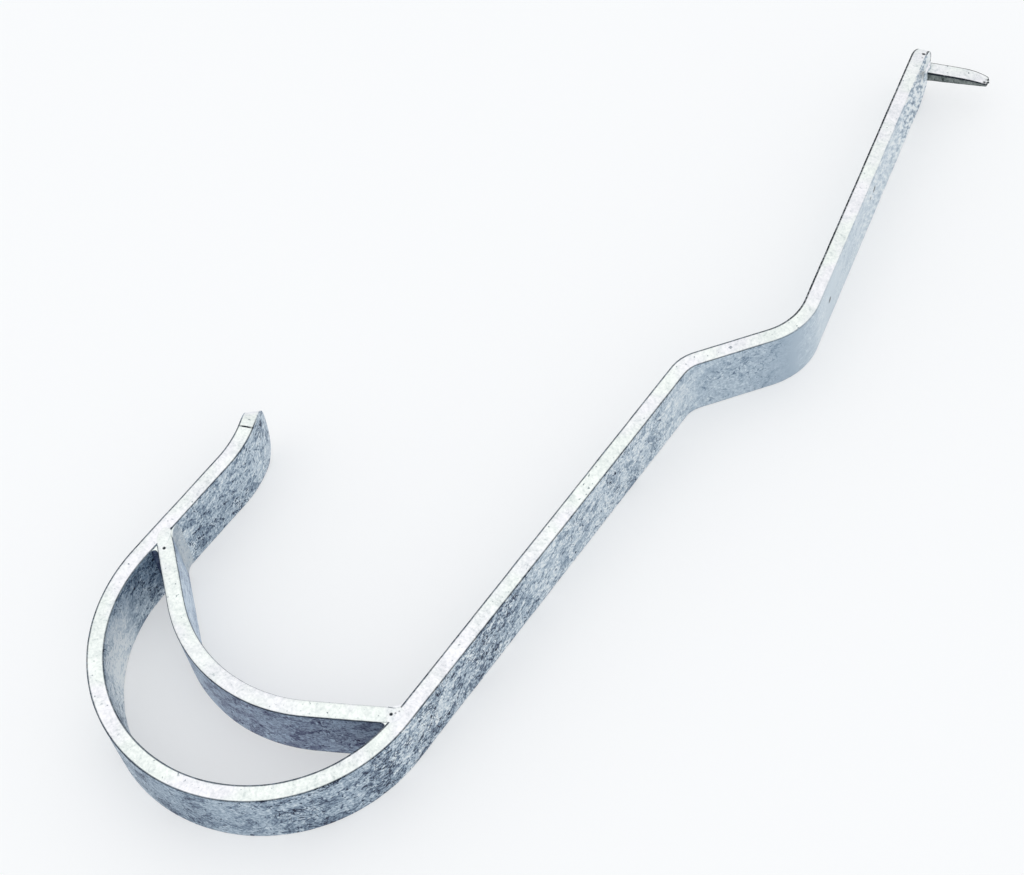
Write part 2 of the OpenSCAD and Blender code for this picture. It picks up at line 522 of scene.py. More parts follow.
        # Painted light: the level rolled edges take the near-white edge colours and the
        # upright faces the blue-grey ones
        painted_edge_light = add("MapRange", rim, 0.38, 0.56, **EASED)
        drift = add("MapRange", noises["tint"], 0.42, 0.58)
        # Dark lines: thin zinc and painted outline shade along the arrises, painted shade in
        # the creases, and the pits
        thin = self.outlined(tree, bar, rim, noises["grain"])
        if self.pits:
            thin = add("Math", thin, gathered(tree, place, self.pits), use_clamp=True)
        # Two colours go into inputs 6 and 7 of a Mix and leave by output 2
        rgb, (first, second) = {"data_type": "RGBA"}, map(linear, self.hues)
        tint = add("Mix", drift, more={6: first, 7: second}, **rgb)
        tinted = {6: coats[1], 7: tint.outputs[2]}
        edge = add("Mix", 1.0, more=tinted, blend_type="MULTIPLY", **rgb)
        skin = add("Mix", painted_edge_light, more={6: coats[0], 7: edge.outputs[2]}, **rgb)
        colour = add("Mix", thin, more={6: skin.outputs[2], 7: linear(self.arris)}, **rgb)

        # Bare alloy is rougher than thick zinc
        tone, dull = levels[0], self.roughness
        rough = add("MapRange", tone, 0.2, 0.8, dull + 0.1, dull - 0.06)
        relief = {"Height": tone, "Distance": self.relief_mm * MM, "Strength": 1.0}
        bump = add("Bump", more=relief)
        # A metal: full metallic and the default IOR
        look = {"Roughness": rough, "Normal": bump, "Metallic": 1.0}
        look["Base Color"] = colour.outputs[2]
        add("OutputMaterial", add("BsdfPrincipled", more=look))
        return material


def seen_directly(tree: Tree) -> Link:
    """Tells the rays that look at a backdrop from the ones that only light.

    Args:
        tree: The node tree to add to.

    Returns:
        1 for rays from the camera, off metal and through glass, otherwise 0.
    """
    rays = add_node(tree, "LightPath").outputs
    seen: Link = rays["Is Camera Ray"]
    for kind in ("Is Glossy Ray", "Is Transmission Ray"):
        seen = add_node(tree, "Math", seen, rays[kind], operation="MAXIMUM")
    return seen


@dataclass(frozen=True)
class StudioPaper:
    """A pale seamless paper that the hook lies on, rolled matt and uncoated.

    It has no gloss and no grain, so the eye sees only the hook's soft shadow.

    Attributes:
        name: Name of the material.
        colour: The paper's own colour.
        roughness: Its roughness.
        white: How far the paper is lifted to plain white where it is looked at.
    """

    name: str = "studio_paper"
    colour: str = "#f4f5f5"
    roughness: float = 0.95
    white: float = 0.4

    def build(self) -> Material:
        """Makes the material.

        Returns:
            Matt paper that keeps shadows and looks white where it is lit.
        """
        material = bpy.data.materials.new(self.name)
        tree = emptied(material)
        add = partial(add_node, tree)
        look = {"Base Color": linear(self.colour), "Roughness": self.roughness}
        paper = add("BsdfPrincipled", more=look)
        white = add("Emission", (1, 1, 1, 1), 1.0)
        share = add("Math", seen_directly(tree), self.white, operation="MULTIPLY")
        add("OutputMaterial", add("MixShader", share, paper, white))
        return material


# ---- mesh steps ----


def block(size: Place, centre: Place) -> Mesh:
    """Makes a box.

    Args:
        size: Its lengths along X, Y and Z in mm.
        centre: Its centre in mm.

    Returns:
        The box.
    """
    bm = bmesh.new()
    bmesh.ops.create_cube(bm, size=1.0)
    bmesh.ops.scale(bm, vec=size, verts=bm.verts)
    bmesh.ops.translate(bm, vec=centre, verts=bm.verts)
    return bm


def sliced(bm: Mesh, point: Place, normal: Place, **clear: bool) -> dict[str, list]:
    """Cuts a mesh along a plane, and clears the side that is asked for."""
    every = bm.verts[:] + bm.edges[:] + bm.faces[:]
    return bmesh.ops.bisect_plane(bm, geom=every, plane_co=point, plane_no=normal, **clear)


def rounded(bm: Mesh, edges: list[bmesh.types.BMEdge], radius: float, segments: int) -> None:
    """Rounds edges of a mesh.

    Args:
        bm: The mesh.
        edges: The edges.
        radius: How far each face is cut back in mm.
        segments: How many flats make the round.
    """
    bmesh.ops.bevel(
        bm,
        geom=edges,
        offset=radius,
        affect="EDGES",
        segments=segments,
        profile=0.5,
        material=-1,
        clamp_overlap=True,
    )


def note_stock(bm: Mesh, seed: float) -> None:
    """Notes on a piece in mm where its zinc patterns lie, for the finish.

    Layer "stock" gets each point's place in metres, and layer "rim" how far
    the surface there is turned up or down, 0 for upright and 1 for level.

    Args:
        bm: The mesh in mm.
        seed: Shift across the patterns, so that no two pieces match.
    """
    bm.normal_update()
    stock = bm.verts.layers.float_vector.new("stock")
    rim = bm.verts.layers.float.new("rim")
    for vert in bm.verts:
        vert[stock] = (vert.co + Vector((seed * SEED_STEP, 0, 0))) * MM
        vert[rim] = math.degrees(math.asin(min(1.0, abs(vert.normal.z)))) / 90.0


def finished(bm: Mesh, seed: float) -> Mesh:
    """Notes a piece's patterns and brings it to metres.

    Args:
        bm: The mesh in mm.
        seed: Shift across the patterns.

    Returns:
        The same mesh in metres.
    """
    bmesh.ops.recalc_face_normals(bm, faces=bm.faces)
    note_stock(bm, seed)
    bmesh.ops.scale(bm, vec=(MM, MM, MM), verts=bm.verts)
    return bm


def log_box(label: str, low: Vector, high: Vector) -> None:
    """Logs the lowest and highest corners of a box, in metres."""
    LOG.info("%s: %s to %s", label, [round(c, 4) for c in low], [round(c, 4) for c in high])


def put(name: str, data: bpy.types.ID) -> bpy.types.Object:
    """Puts a mesh, a lamp or a camera into the scene, at the origin.

    Args:
        name: Name of the object.
        data: What the object shows.

    Returns:
        The object.
    """
    made = bpy.data.objects.new(name, data)
    bpy.context.scene.collection.objects.link(made)
    return made


def show(name: str, bm: Mesh, material: Material) -> bpy.types.Object:
    """Turns a finished mesh into a piece that rides on the hook.

    Args:
        name: Name of the piece.
        bm: Its mesh in metres. It is freed.
        material: Its finish.

    Returns:
        The piece.
    """
    for f in bm.faces:
        f.smooth = True
    most = math.radians(SMOOTH_BELOW)
    for e in bm.edges:
        e.smooth = len(e.link_faces) == 2 and e.calc_face_angle(0.0) < most
    mesh = bpy.data.meshes.new(name)
    bm.to_mesh(mesh)
    count = sum(len(f.verts) - 2 for f in bm.faces)
    bm.free()
    mesh.materials.append(material)
    piece = put(name, mesh)
    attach(piece, "root")
    LOG.info("%s: %d triangles", name, count)
    return piece


# ---- bars ----


def rightwards(heading: float) -> Vector:
    """Unit vector to the right of a heading in radians from +Y."""
    return Vector((math.cos(heading), -math.sin(heading), 0.0))


@dataclass(frozen=True)
class FlatBar:
    """The rolled section of a flat bar, in mm.

    Attributes:
        width: Height of the bar lying on its edge.
        thickness: Distance between its broad faces.
        rolled: Radius of its rolled edges.
    """

    width: float
    thickness: float
    rolled: float = 1.3


@dataclass(frozen=True)
class Leg:
    """One leg of a bent bar: a straight run, or a bend if it has a radius.

    Attributes:
        length: Length of a straight run in mm.
        radius: Centreline radius of a bend in mm, or 0.
        degrees: Angle of a bend.
        turn: The side that the bend turns to.
    """

    length: float = 0.0
    radius: float = 0.0
    degrees: float = 0.0
    turn: Turn = Turn.RIGHT

    @property
    def run(self) -> float:
        """Length of the leg along the bar's middle, in mm."""
        return self.length + self.radius * math.radians(self.degrees)


@dataclass
class BentBar:
    """A flat bar that is made straight and then bent leg by leg.

    Attributes:
        name: Name of the piece.
        section: The bar's rolled section.
        legs: The legs in order.
        start: Where the bar's middle starts, in mm.
        heading: Which way it starts, in degrees from +Y towards +X.
        nose: Radius of the sheared corners at each end, or 0 for a square end.
        nose_rings: How many rings the sheared corners take.
        nose_flat: Half of the least height left at a sheared end, in mm.
        pinch: Length over which the far end thins to a rounded tip, in mm.
        step: Spacing of the rings along the bar, in mm.
        rows: How many rows the broad faces have.
        seed: Offset of the bar's own unevenness.
    """

    name: str
    section: FlatBar
    legs: tuple[Leg, ...]
    start: tuple[float, float]
    heading: float
    nose: float = 0.0
    nose_rings: int = 12
    nose_flat: float = 1.6
    pinch: float = 0.0
    step: float = 2.5
    rows: int = 12
    seed: float = 0.0

    @property
    def length(self) -> float:
        """Developed length of the bar in mm."""
        return sum(leg.run for leg in self.legs)

    def at(self, along: float) -> tuple[Vector, Vector]:
        """Finds a place on the bent middle line.

        Args:
            along: Distance from the bar's start in mm.

        Returns:
            The place, and the unit vector to the right of the way ahead.
        """
        place, heading, left = Vector((*self.start, 0.0)), math.radians(self.heading), along
        for number, leg in enumerate(self.legs, 1):
            part = left if number == len(self.legs) else min(left, leg.run)
            if leg.radius:
                lever = leg.radius * leg.turn.value
                centre = place + rightwards(heading) * lever
                heading += part / lever
                place = centre - rightwards(heading) * lever
            else:
                place = place + Vector((math.sin(heading), math.cos(heading), 0.0)) * part
            left -= part
            if left <= 1e-9:
                break
        return place, rightwards(heading)

    def blank(self) -> Mesh:
        """Makes the straight bar: X across, Y along, Z up, in mm.

        Returns:
            The straight bar with rolled edges and sheared corners.
        """
        section, length = self.section, self.length
        size = (section.thickness, length, section.width)
        bm = block(size, (0, length / 2, section.width / 2))

        # Rings along the bar, closer together where the sheared corners curve
        cuts = int(length / self.step)
        rings = {round(length * i / cuts, 3) for i in range(1, cuts)}
        if self.nose:
            rings = {y for y in rings if self.nose < y < length - self.nose}
            for i in range(1, self.nose_rings + 1):
                inset = self.nose * (1 - math.cos(math.radians(90 * i / self.nose_rings)))
                rings |= {round(inset, 3), round(length - inset, 3)}
        for y in sorted(rings):
            sliced(bm, (0, y, 0), (0, 1, 0))
        # The shear draws the corners of both ends in to a round
        for vert in bm.verts:
            inset = min(vert.co.y, length - vert.co.y)
            if inset < self.nose:
                rise = math.sqrt(max(0.0, self.nose**2 - (self.nose - inset) ** 2))
                half = max(section.width / 2 - self.nose + rise, self.nose_flat)
                up = vert.co.z - section.width / 2
                vert.co.z = section.width / 2 + math.copysign(half, up)

        bm.normal_update()
        sharp = [e for e in bm.edges if e.calc_face_angle(0.0) > math.radians(50)]
        rounded(bm, sharp, section.rolled, 4)
        # Rows up the broad faces and across the edges, for the uneven zinc
        for i in range(1, self.rows):
            sliced(bm, (0, 0, section.width * i / self.rows), (0, 0, 1))
        for x in (-section.thickness / 5, section.thickness / 5):
            sliced(bm, (x, 0, 0), (1, 0, 0))
        bmesh.ops.dissolve_degenerate(bm, dist=1e-4, edges=bm.edges[:])
        return bm

    def make(self) -> Mesh:
        """Makes the bent bar in metres, with its straight coordinates kept.

        Returns:
            The bent bar, with its places on the straight bar noted for the
            finish.
        """
        bm = self.blank()
        note_stock(bm, self.seed)
        rim = bm.verts.layers.float["rim"]
        flat = self.section.thickness / 2 - self.section.rolled
        # The rolled surface and its zinc lie unevenly over the true bar
        own = Vector((self.seed, self.seed * 2.0, self.seed * 3.0))
        shifts = []
        for vert in bm.verts:
            spot = vert.co + own
            high = noise.noise(spot / 22.0) * 0.10 + noise.noise(spot / 6.0) * 0.07 - 0.08
            shifts.append(vert.normal * high)
        for vert, shift in zip(bm.verts, shifts):
            # The rolled arris runs from the broad face, 0, to the edge, 1
            share = min(1.0, max(0.0, (abs(vert.co.x) - flat) / self.section.rolled))
            vert[rim] = math.degrees(math.acos(share)) / 90.0
            co, left = vert.co + shift, max(0.0, self.length - vert.co.y)
            if left < self.pinch:
                # Ground thin towards the tip, the back more than the front
                bite = 1.0 - left / self.pinch
                co.x *= 1.0 - (0.75 * bite**1.5 if co.x < 0 else 0.06 * bite**4)
            place, right = self.at(max(co.y, 0.0))
            ahead = Vector((-right.y, right.x, 0.0))
            place = place + ahead * min(co.y, 0.0)
            vert.co = (place + right * co.x + Vector((0, 0, co.z))) * MM
        bmesh.ops.recalc_face_normals(bm, faces=bm.faces)
        return bm


# ---- welds ----


@dataclass
class FilletWeld:
    """A fillet of weld metal under its zinc, standing in an upright corner.

    Attributes:
        name: Name of the piece.
        corner: The corner that the two faces make in plan, in mm.
        first: Unit vector along the first face, away from the corner.
        second: Unit vector along the second face, away from the corner.
        hollow: Radius of the weld's hollow face in mm.
        low: Height of its lower end in mm.
        high: Height of its upper end in mm.
        sink: How far its toes run into the faces in mm.
        steps: How many layers it is built up from.
        seed: Offset of its own ripples.
    """

    name: str
    corner: Vector
    first: Vector
    second: Vector
    hollow: float
    low: float = 0.4
    high: float = 34.7
    sink: float = 0.3
    steps: int = 22
    seed: float = 0.0

    def outline(self) -> list[Vector]:
        """Works out the weld's outline in plan.

        Returns:
            Points in mm: a point inside the metal, then the hollow face.
        """
        between = self.first.angle(self.second)
        reach = self.hollow / math.tan(between / 2)
        middle = (self.first + self.second).normalized()
        centre = self.corner + middle * (self.hollow / math.sin(between / 2))
        toe = self.corner + self.first * reach
        end = self.corner + self.second * reach
        a, b = (toe - centre).normalized(), (end - centre).normalized()
        points = [self.corner - middle * 0.9, toe + a * self.sink]
        points += [centre + a.slerp(b, i / 10) * (self.hollow + 0.02) for i in range(11)]
        points.append(end + b * self.sink)
        return points

    def make(self) -> Mesh:
        """Makes the weld in metres.

        Returns:
            The fillet, with soft ripples up its face and tapered ends.
        """
        bm = bmesh.new()
        face = bm.faces.new([bm.verts.new((p.x, p.y, self.low)) for p in self.outline()])
        rise = (self.high - self.low) / self.steps
        for _ in range(self.steps):
            made = bmesh.ops.extrude_face_region(bm, geom=[face])["geom"]
            verts = [g for g in made if isinstance(g, bmesh.types.BMVert)]
            face = next(g for g in made if isinstance(g, bmesh.types.BMFace))
            bmesh.ops.translate(bm, vec=(0, 0, rise), verts=verts)
        bm.normal_update()
        sharp = (e for e in bm.edges if e.calc_face_angle(0.0) > math.radians(60))
        level = [e for e in sharp if abs(e.verts[0].co.z - e.verts[1].co.z) < 1e-4]
        rounded(bm, level, 0.7, 3)
        middle, half = (self.low + self.high) / 2, (self.high - self.low) / 2
        for vert in bm.verts:
            out = Vector((vert.co.x - self.corner.x, vert.co.y - self.corner.y, 0))
            taper = 1.0 - 0.12 * (abs(vert.co.z - middle) / half) ** 6
            wave = Vector((vert.co.x / 3, vert.co.y / 3, vert.co.z / 2.2 + self.seed))
            out *= taper * (1.0 + 0.035 * noise.noise(wave))
            vert.co.x, vert.co.y = self.corner.x + out.x, self.corner.y + out.y
        return finished(bm, self.seed)


@dataclass
class WeldCap:
    """A low, uneven pad of weld metal and zinc, such as where a bead ends.

    Attributes:
        name: Name of the piece.
        centre: Its centre in mm.
        size: Its half length, half width and height in mm.
        turned: Its turn about Z in degrees.
        seed: Offset of its own lumps.
    """

    name: str
    centre: Vector
    size: Place
    turned: float = 0.0
    seed: float = 0.0

    def make(self) -> Mesh:
        """Makes the pad in metres.

        Returns:
            A closed, flattened and lumpy dome.
        """
        bm = bmesh.new()
        bmesh.ops.create_icosphere(bm, subdivisions=4, radius=1.0)
        for vert in bm.verts:
            lump = noise.noise(vert.co * 1.6 + Vector((self.seed, 0, 0)))
            vert.co *= 1.0 + 0.14 * lump
        turn = Matrix.Rotation(math.radians(self.turned), 3, "Z")
        bmesh.ops.scale(bm, vec=self.size, verts=bm.verts)
        bmesh.ops.rotate(bm, cent=(0, 0, 0), matrix=turn, verts=bm.verts)
        bmesh.ops.translate(bm, vec=self.centre, verts=bm.verts)
        return finished(bm, self.seed)


# ---- the sub-assemblies ----


@dataclass
class Hook:
    """The long bar: lip, flare, arm, hook, shank, step and tang.

    Attributes:
        gap: Clear width between arm and shank in mm.
        section: The bar's section.
        rise: Height of the log's axis above the centre of the hook's bend.
        shift: Distance of the log's axis from the middle of the hook.
        lip: The bend that ends the arm.
        flare: The bend that opens the mouth for the log.
        arm: The straight run from the flare to the hook's bend.
        past: What follows the hook's bend: shank, step and tang.
    """

    gap: float = 144.0
    section: FlatBar = FlatBar(35.0, 8.0)
    rise: float = 46.5
    shift: float = 3.0
    lip: Leg = Leg(radius=40.0, degrees=26.0)
    flare: Leg = Leg(radius=60.0, degrees=19.0)
    arm: Leg = Leg(60.0)
    past: tuple[Leg, ...] = (
        Leg(216.0),
        Leg(radius=18.0, degrees=37.0),
        Leg(38.0),
        Leg(radius=34.0, degrees=49.0, turn=Turn.LEFT),
        Leg(190.0),
    )

    def bar(self) -> BentBar:
        """The whole bar, from the end of the lip to the end of the tang.

        Returns:
            The bar, ready to be made.
        """
        radius = self.gap / 2 + self.section.thickness / 2
        # The arm is walked up from the hook's bend to find where the lip ends
        back = tuple(replace(leg, turn=Turn.LEFT) for leg in (self.arm, self.flare, self.lip))
        foot = (-radius - self.shift, -self.rise)
        climb = BentBar("arm", self.section, back, foot, 0.0)
        end, _ = climb.at(climb.length)
        bend = Leg(radius=radius, degrees=180.0, turn=Turn.LEFT)
        return BentBar(
            "hook_bar",
            self.section,
            (self.lip, self.flare, self.arm, bend, *self.past),
            (end.x, end.y),
            180.0 - self.flare.degrees - self.lip.degrees,
            nose=16.0,
            pinch=14.0,
            seed=1.0,
        )

    def dress(self, finish: Material) -> None:
        """Shows the bar in place of its plain solid.

        Args:
            finish: The bar's finish.
        """
        bar = self.bar()
        piece = show(bar.name, bar.make(), finish)
        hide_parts("main_bar")
        log_box("plain bar", *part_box("main_bar"))


@dataclass
class Seat:
    """The short bar that the log lies on, with its fillet welds.

    Attributes:
        arm_face: The arm's inner face in mm along X.
        shank_face: The shank's inner face in mm along X.
        section: The strap's section.
        log: Diameter of the log in mm.
        wrap: Angle that the bent middle wraps round the log.
        tilt: Angle that the seat is turned down towards the shank.
        over: How far the strap runs past each face before it is trimmed, in mm.
    """

    arm_face: float
    shank_face: float
    section: FlatBar = FlatBar(35.0, 8.0)
    log: float = 140.0
    wrap: float = 68.0
    tilt: float = 6.0
    over: float = 8.0

    @property
    def radius(self) -> float:
        """Centreline radius of the bent middle in mm."""
        return self.log / 2 + self.section.thickness / 2

    def slope(self, side: int) -> float:
        """Steepness of a straight end in radians, at the arm (-1) or shank (1)."""
        return math.radians(self.wrap / 2 - side * self.tilt)

    def bend_end(self, side: int) -> Vector:
        """Where the bent middle meets a straight end, in mm."""
        slope, radius = self.slope(side), self.radius
        return Vector((side * radius * math.sin(slope), -radius * math.cos(slope), 0))

    def end(self, side: int) -> Vector:
        """Where the strap's middle meets the arm (-1) or the shank (1), in mm."""
        x, bend = self.arm_face if side < 0 else self.shank_face, self.bend_end(side)
        return Vector((x, bend.y + abs(x - bend.x) * math.tan(self.slope(side)), 0))

    def bar(self) -> BentBar:
        """The strap, running a little way into both faces.

        Returns:
            The strap, ready to be made and trimmed.
        """
        runs = [(self.end(side) - self.bend_end(side)).length + self.over for side in (-1, 1)]
        slope = self.slope(-1)
        start = self.bend_end(-1) + Vector((-math.cos(slope), math.sin(slope), 0)) * runs[0]
        bend = Leg(radius=self.radius, degrees=self.wrap, turn=Turn.LEFT)
        legs = (Leg(runs[0]), bend, Leg(runs[1]))
        heading = 90.0 + self.wrap / 2 + self.tilt
        return BentBar("seat_bar", self.section, legs, (start.x, start.y), heading, seed=5.0)

    def trimmed(self) -> Mesh:
        """Makes the strap and cuts its ends to the hook's faces.

        Returns:
            The strap in metres.
        """
        bm = self.bar().make()
        for x, side in ((self.arm_face - 0.2, -1), (self.shank_face + 0.2, 1)):
            cut = sliced(bm, (x * MM, 0, 0), (side, 0, 0), clear_outer=True)["geom_cut"]
            edges = [g for g in cut if isinstance(g, bmesh.types.BMEdge)]
            bmesh.ops.edgeloop_fill(bm, edges=edges)
        # A hair lower than the hook's edges, so that the two don't share a plane
        bmesh.ops.scale(bm, vec=(1, 1, 0.996), verts=bm.verts)
        bmesh.ops.translate(bm, vec=(0, 0, 0.07 * MM), verts=bm.verts)
        bmesh.ops.recalc_face_normals(bm, faces=bm.faces)
        return bm

    def dress(self, finish: Material, beads: dict[Corner, Material]) -> None:
        """Shows the strap and its welds in place of their plain solids.

        Args:
            finish: The strap's finish.
            beads: The finish of the welds in each corner.
        """
        strap = show("seat_bar", self.trimmed(), finish)
        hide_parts("seat_strap")
        hollows = {Corner.CRADLE: 10.0, Corner.LOOP: 1.8}
        for side, node in ((-1, "arm_weld"), (1, "shank_weld")):
            slope, end = self.slope(side), self.end(side)
            away = Vector((-side * math.cos(slope), -math.sin(slope), 0))
            half = self.section.thickness / 2 / math.cos(slope)
            for corner in Corner:
                weld = FilletWeld(
                    f"{node}_{corner.name.lower()}",
                    end + Vector((0, corner.value * half, 0)),
                    Vector((0, corner.value, 0)),
                    away,
                    hollows[corner],
                    seed=3.0 * side + corner.value,
                )
                piece = show(weld.name, weld.make(), beads[corner])
                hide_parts(node)
            top = end + Vector((side * 0.5, 0.3, 34.85))
            size = (3.0, half, 0.42)
            cap = WeldCap(f"{node}_cap", top, size, turned=-side * 20.0, seed=2.0 + side)
            show(cap.name, cap.make(), beads[Corner.CRADLE])


@dataclass
class Spike:
    """The wedge-shaped spike on the tang and the bead round its root.

    Attributes:
        root: Middle of its root on the tang's face, in mm.
        ahead: Unit vector square to the tang's face.
        askew: How far the spike was welded off square, in degrees.
        length: Length beyond the face in mm.
        width: Width along the tang in mm.
        height: Height at the root in mm.
        tip: Thickness left at the tip in mm.
        sunk: How far its root runs into the tang in mm.
        seed: Shift of its patterns.
    """

    root: Vector
    ahead: Vector
    askew: float = 4.5
    length: float = 33.0
    width: float = 8.0
    height: float = 6.0
    tip: float = 1.0
    sunk: float = 3.0
    seed: float = 8.0

    def forged(self, co: Vector) -> Vector:
        """Draws a place on the square bar down to the wedge.

        Args:
            co: Place on the bar in mm: X ahead, Y across, Z up.

        Returns:
            The same place on the wedge.
        """
        half, level = self.height / 2, self.length * 0.45
        drop = (self.height - self.tip) * 0.42
        part = min(1.0, max(0.0, (co.x - level) / (self.length - level)))
        top = half - drop * (1 - math.sqrt(1 - (0.9 * part) ** 2)) / (1 - math.sqrt(1 - 0.81))
        rise = max(0.0, co.x) / self.length
        bottom = -half + (self.height - drop - self.tip) * rise
        # The far side is fuller, and both sides draw in to a ragged tip
        near = max(0.0, 1.0 - (self.length - co.x) / 15.0)
        width = (1.2 - 0.55 * near**2) if co.y > 0 else (1.0 - 0.1 * near**2)
        ragged = 2.2 * near**3 * (noise.noise(Vector((4.0, co.y / 1.3, 0.0))) - 0.25)
        height = bottom + (top - bottom) * (co.z + half) / self.height
        return Vector((co.x + ragged, co.y * width, height))

    def make(self) -> Mesh:
        """Makes the spike in metres.

        Returns:
            A wedge with a level top that dips to the tip, and a rising
            underside, with softened arrises.
        """
        size = (self.length + self.sunk, self.width, self.height)
        bm = block(size, ((self.length - self.sunk) / 2, 0, 0))
        rounded(bm, bm.edges[:], 1.0, 4)
        for x in range(-1, int(self.length), 2):
            sliced(bm, (x, 0, 0), (1, 0, 0))
        for y in (-2.4, -1.6, -0.8, 0.01, 0.8, 1.6, 2.4):
            sliced(bm, (0, y, 0), (0, 1, 0))
        note_stock(bm, self.seed)
        ahead = self.ahead.copy()
        ahead.rotate(Matrix.Rotation(math.radians(self.askew), 3, "Z"))
        across = Vector((-ahead.y, ahead.x, 0))
        shifts = [v.normal * (noise.noise(v.co / 3.0) * 0.12 - 0.04) for v in bm.verts]
        for vert, shift in zip(bm.verts, shifts):
            co = self.forged(vert.co) + shift
            vert.co = (self.root + ahead * co.x + across * co.y + Vector((0, 0, co.z))) * MM
        bmesh.ops.recalc_face_normals(bm, faces=bm.faces)
        return bm

    def dress(self, finish: Material, bead: Material) -> None:
        """Shows the spike and its weld in place of their plain solids.

        Args:
            finish: The spike's finish.
            bead: The weld's finish.
        """
        piece = show("tang_spike", self.make(), finish)
        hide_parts("spike")
        turned = math.degrees(math.atan2(self.ahead.y, self.ahead.x))
        middle = self.root + self.ahead * -0.4
        ring = WeldCap("spike_root_weld", middle, (2.6, 5.4, 4.8), turned=turned, seed=6.0)
        piece = show(ring.name, ring.make(), bead)
        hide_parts("spike_weld")


# ---- studio ----


@dataclass
class Studio:
    """Floor, light and camera.

    Attributes:
        camera: Where the camera stands, in mm.
        target: What it looks at, in mm.
        roll: How far it is turned about its own axis, in degrees.
        lens: Focal length in mm on a 36 mm wide sensor.
        lamps: Name, place in metres, size in metres and power of each lamp.
        lit: What the lamps point at, in metres.
    """

    camera: Place = (373.8, -278.2, 758.0)
    target: Place = (20.17, 105.54, 17.5)
    roll: float = -8.79
    lens: float = 66.9
    lamps: tuple[tuple[str, Place, float, float], ...] = (
        ("overhead", (-0.25, 0.15, 1.5), 1.6, 1.6),
        ("front", (0.9, -0.9, 0.9), 1.0, 0.8),
    )
    lit: Place = (0.0, 0.12, 0.0)

    def floor(self) -> None:
        """Lays the floor that the hook rests on."""
        bm = bmesh.new()
        bmesh.ops.create_grid(bm, x_segments=4, y_segments=4, size=6.0)
        bmesh.ops.translate(bm, vec=(0, 0, CAD_BOX[0].z - 0.0002), verts=bm.verts)
        mesh = bpy.data.meshes.new("studio_floor")
        bm.to_mesh(mesh)
        bm.free()
        mesh.materials.append(StudioPaper().build())
        ground = put("studio_floor", mesh)
        ground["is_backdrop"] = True

    def light(self) -> None:
        """Sets the soft lamps and a plain surrounding glow."""
        world = bpy.data.worlds.new("studio")
        bpy.context.scene.world = world
        add = partial(add_node, emptied(world))
        glow = add("Background", linear("#fafcff"), 1.0)
        white = add("Background", (1, 1, 1, 1), 1.0)
        add("OutputWorld", add("MixShader", seen_directly(world.node_tree), glow, white))
        for name, place, size, power in self.lamps:
            lamp = bpy.data.lights.new(name, "AREA")
            lamp.size, lamp.energy = size, power
            holder = put(name, lamp)
            holder.location = place
            look = Vector(self.lit) - Vector(place)
            holder.rotation_euler = look.to_track_quat("-Z", "Y").to_euler()

    def camera_up(self) -> None:
        """Sets up the camera."""
        data = bpy.data.cameras.new("view")
        data.lens, data.sensor_width = self.lens, 36.0
        data.clip_start, data.clip_end = 0.05, 50.0
        holder = put("view", data)
        place, target = Vector(self.camera) * MM, Vector(self.target) * MM
        aim = (target - place).to_track_quat("-Z", "Y")
        roll = Matrix.Rotation(math.radians(self.roll), 3, "Z")
        holder.matrix_world = Matrix.Translation(place) @ (aim.to_matrix() @ roll).to_4x4()
        bpy.context.scene.camera = holder

    def build(self) -> None:
        """Builds the studio."""
        self.floor()
        self.light()
        self.camera_up()
        bpy.context.scene.view_settings.view_transform = "Standard"


